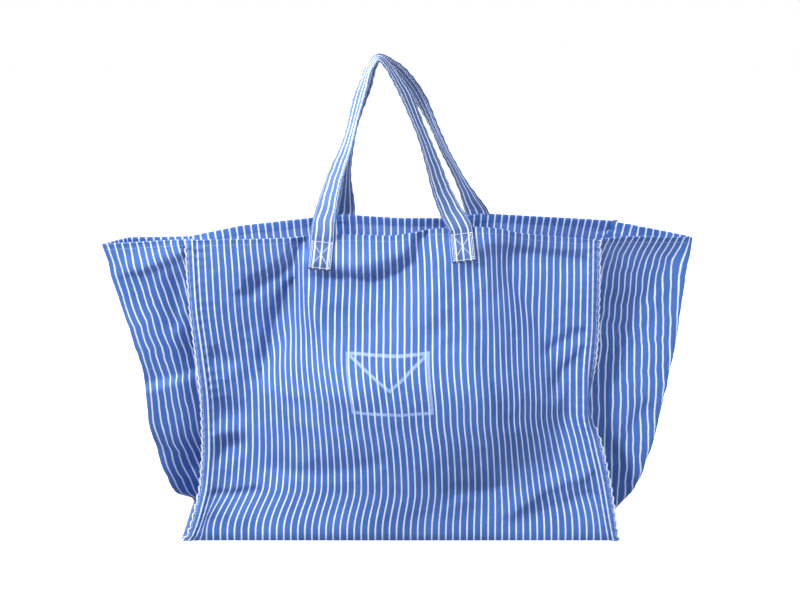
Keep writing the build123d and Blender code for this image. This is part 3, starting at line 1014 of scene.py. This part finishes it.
def strap_line(path, turns, face, tree):
    """Points, outward directions and distances along a strap, with both sewn feet."""
    feet = []
    foot_turn = radians(6)
    for end, turn in ((0, 1), (-1, -1)):
        x, _ = path[end]
        rim_top = rim_height(tree, x, face) - 0.002
        foot = []
        for drop in np.linspace(FOOT_LENGTH + 0.003, 0.002, 9):
            foot_x = x - turn * sin(foot_turn) * drop
            foot_z = rim_top - drop * cos(foot_turn)
            foot_y = surface_y(tree, foot_x, min(foot_z, rim_top - 0.008), face)
            foot.append((foot_x, foot_y + face * (STRAP_THICK / 2 + 0.0006), foot_z))
        feet.append(foot)
    left, right = feet
    rim_y = face * (abs(left[-1][1]) + abs(right[-1][1])) / 2
    lean = (face * APEX_Y - rim_y) / STRAP_RISE
    free = [(x, rim_y + lean * h, RIM + h) for x, h in path[1:-1]]
    knots = np.array(left + free + right[::-1])
    at = distances(knots)
    count = int(at[-1] / STRAP_STEP)
    places = np.linspace(0, at[-1], count)
    line = np.stack([catmull(at, knots[:, axis], places) for axis in range(3)], axis=-1)
    tangent = np.gradient(line, axis=0)
    tangent /= np.linalg.norm(tangent, axis=1, keepdims=True)
    turn = np.radians(through(*zip(*turns), np.clip((line[:, 2] - RIM) / STRAP_RISE, 0, 1)))
    loop_out = np.stack([-tangent[:, 2], 0 * turn, tangent[:, 0]], axis=-1)
    loop_out /= np.maximum(np.linalg.norm(loop_out, axis=1, keepdims=True), 1e-9)
    wanted = loop_out * np.sin(turn)[:, None] + np.array([0, face, 0])[None] * np.cos(turn)[:, None]
    across = np.cross(tangent, wanted)
    across /= np.linalg.norm(across, axis=1, keepdims=True)
    out = np.cross(across, tangent)
    return line, across, out, places


def strap(name, path, turns, face, tree, material, thread):
    """A carrying strap: folded cloth, sewn along both edges, with its feet sewn to the panel."""
    line, across, out, places = strap_line(path, turns, face, tree)
    count = len(line)
    length = places[-1]
    columns = np.linspace(-1, 1, 13)
    wobble = on_axis(2, places)
    seed = 71 if face < 0 else 81
    # the strap cups, ripples at its edges and sways aside along its length
    cup = 0.0042 * roughness(wobble, 12, seed)
    ripple = 0.0005 * np.sin(2 * pi * places / 0.0160 + 5 * roughness(wobble, 18, seed + 1))
    sway = 0.0022 * roughness(wobble, 24, seed + 2)[:, None] * across
    on_foot = 1 - eased((np.minimum(places, length - places) - FOOT_LENGTH) / 0.012)
    freedom = 1 - on_foot
    line = line + sway * freedom[:, None]

    def lifted(height, share):
        """The line along the strap at one share of its half width, raised from its middle."""
        rounded = 1 - 0.55 * abs(share) ** 10
        lift = height * rounded + cup * freedom * (share * share - 0.4)
        lift = lift + ripple * abs(share) ** 3 * (0.35 + 0.65 * freedom)
        return line + across * (share * STRAP_WIDTH / 2) + out * lift[:, None]

    def layer(height, columns):
        return np.stack([lifted(height, share) for share in columns], axis=1)

    half = STRAP_THICK / 2
    outer, inner = layer(half, columns), layer(-half, columns[::-1])
    ring = np.concatenate([outer, inner], axis=1)
    flat_columns = np.concatenate([columns, columns[::-1]]) * STRAP_WIDTH / 2 + FIRST_STRIPE
    around = ring.shape[1]
    mesh = bpy.data.meshes.new(name)
    index = np.arange(count * around).reshape(count, around)
    faces = []
    for low, high in zip(index, index[1:]):
        for column in range(around):
            after = (column + 1) % around
            faces.append((low[column], low[after], high[after], high[column]))
    faces.append(tuple(index[0][::-1]))
    faces.append(tuple(index[-1]))
    mesh.from_pydata(ring.reshape(-1, 3).tolist(), [], [tuple(int(i) for i in f) for f in faces])
    waver = (0.0012 * roughness(wobble, 55, seed + 3) * freedom)[:, None]
    put_flat(mesh, np.stack(np.broadcast_arrays(flat_columns[None, :] + waver, places[:, None]), axis=-1))
    mesh.polygons.foreach_set("use_smooth", np.ones(len(faces), bool))
    mesh.materials.append(material)
    piece = add_object(name, mesh)

    rows = Stitches(f"{name}_stitching")
    on_strap = slice(FOOT_ROWS, count - FOOT_ROWS)
    for share in (-0.86, 0.86):
        for side in (1, -1):
            sewn = lifted(side * half, share) + side * out * THREAD_OFF
            rows.run(sewn[on_strap], side * out[on_strap], step=LONG_STITCH, radius=THREAD * 0.75)
    stitching = rows.piece(thread, None)

    label = "front" if face < 0 else "back"
    for part in (piece, stitching):
        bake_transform(part)
    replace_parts(piece, f"{label}_handle", f"{label}_left_foot", f"{label}_right_foot")
    foot_stitches(label, line, across, out, count, thread)


def foot_stitches(label, line, across, out, count, thread):
    """A box and a cross of thread on each foot, two rows wide at the sides."""
    stitches = Stitches(f"{label}_feet_thread")
    rows = int(FOOT_LENGTH / STRAP_STEP)

    def spot(row_share, side_share, at_end):
        row = row_share * rows + 0.8
        index = (count - 1 - row) if at_end else row
        low = int(np.floor(index))
        low = min(max(low, 0), count - 2)
        part = index - low
        middle = line[low] * (1 - part) + line[low + 1] * part
        proud = out[low] * (STRAP_THICK / 2 + THREAD_OFF)
        return middle + across[low] * side_share * STRAP_WIDTH / 2 + proud, out[low]

    lines = [((0.0, -0.86), (1.0, -0.86)), ((0.0, 0.86), (1.0, 0.86)), ((0.0, -0.74), (1.0, -0.74)),
             ((0.0, 0.74), (1.0, 0.74)), ((0.02, -0.86), (0.02, 0.86)), ((0.98, -0.86), (0.98, 0.86)),
             ((0.02, -0.80), (0.98, 0.80)), ((0.02, 0.80), (0.98, -0.80))]
    for at_end in (False, True):
        for (row_a, side_a), (row_b, side_b) in lines:
            spots = []
            for s in np.linspace(0, 1, 12):
                spots.append(spot(row_a + (row_b - row_a) * s, side_a + (side_b - side_a) * s, at_end))
            stitches.run([p for p, _ in spots], [o for _, o in spots], step=0.0027)
    piece = stitches.piece(thread)
    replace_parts(piece, f"{label}_feet_stitching")


# ---- the bag ----
def make_bag():
    panel = cotton("striped_cotton_printed", printed=True)
    plain = cotton("striped_cotton")
    thread = thread_material()
    places = spaced(FLAT_WIDTH, 0.0041, 0.0024, 0.032) / FLAT_WIDTH
    front, back = front_grid(places), back_grid(places)
    body = body_cloth(places, front, back, panel)
    gusset_places = spaced(GUSSET_WIDTH, 0.0042, 0.0026, 0.03) / GUSSET_WIDTH
    gussets = {side: gusset_grid(side, gusset_places) for side in ("left", "right")}
    for side, grid in gussets.items():
        gusset_cloth(side, gusset_places, grid, plain)

    seam_rows = Stitches("seam_thread")
    for name in SEAMS:
        corner_fin(name, plain, seam_rows)
    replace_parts(seam_rows.piece(thread), "seam_stitching")
    for side in ("left", "right"):
        base_fin(side, plain)

    rim_rows = Stitches("rim_thread")
    inward = np.zeros((len(places), 3))
    inward[:, 1] = 1
    hem_strip("front_hem", "front_rim_hem", front, across_body(places), inward, plain, rim_rows)
    inward = level_normals(back, len(places) // 2, -1)
    hem_strip("back_hem", "back_rim_hem", back, across_body(places), inward, plain, rim_rows)
    for side, grid in gussets.items():
        inward = level_normals(grid, len(gusset_places) // 5, 1)
        flat_across = gusset_places * GUSSET_WIDTH + STRIPE / 2
        hem_strip(f"{side}_hem", f"{side}_rim_hem", grid, flat_across, inward, plain, rim_rows)
    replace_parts(rim_rows.piece(thread), "rim_stitching")

    mesh = body.data
    tree = BVHTree.FromPolygons([v.co[:] for v in mesh.vertices], [p.vertices[:] for p in mesh.polygons])
    # the straps' cloth: folded, with its blues darkened and greyed as painted shade
    folded = cotton("striped_cotton_folded_shaded", folded=True)
    strap("front_strap_cloth", FRONT_PATH, FRONT_TURN, -1, tree, folded, thread)
    strap("back_strap_cloth", BACK_PATH, BACK_TURN, 1, tree, folded, thread)


make_camera()
make_studio()
make_bag()
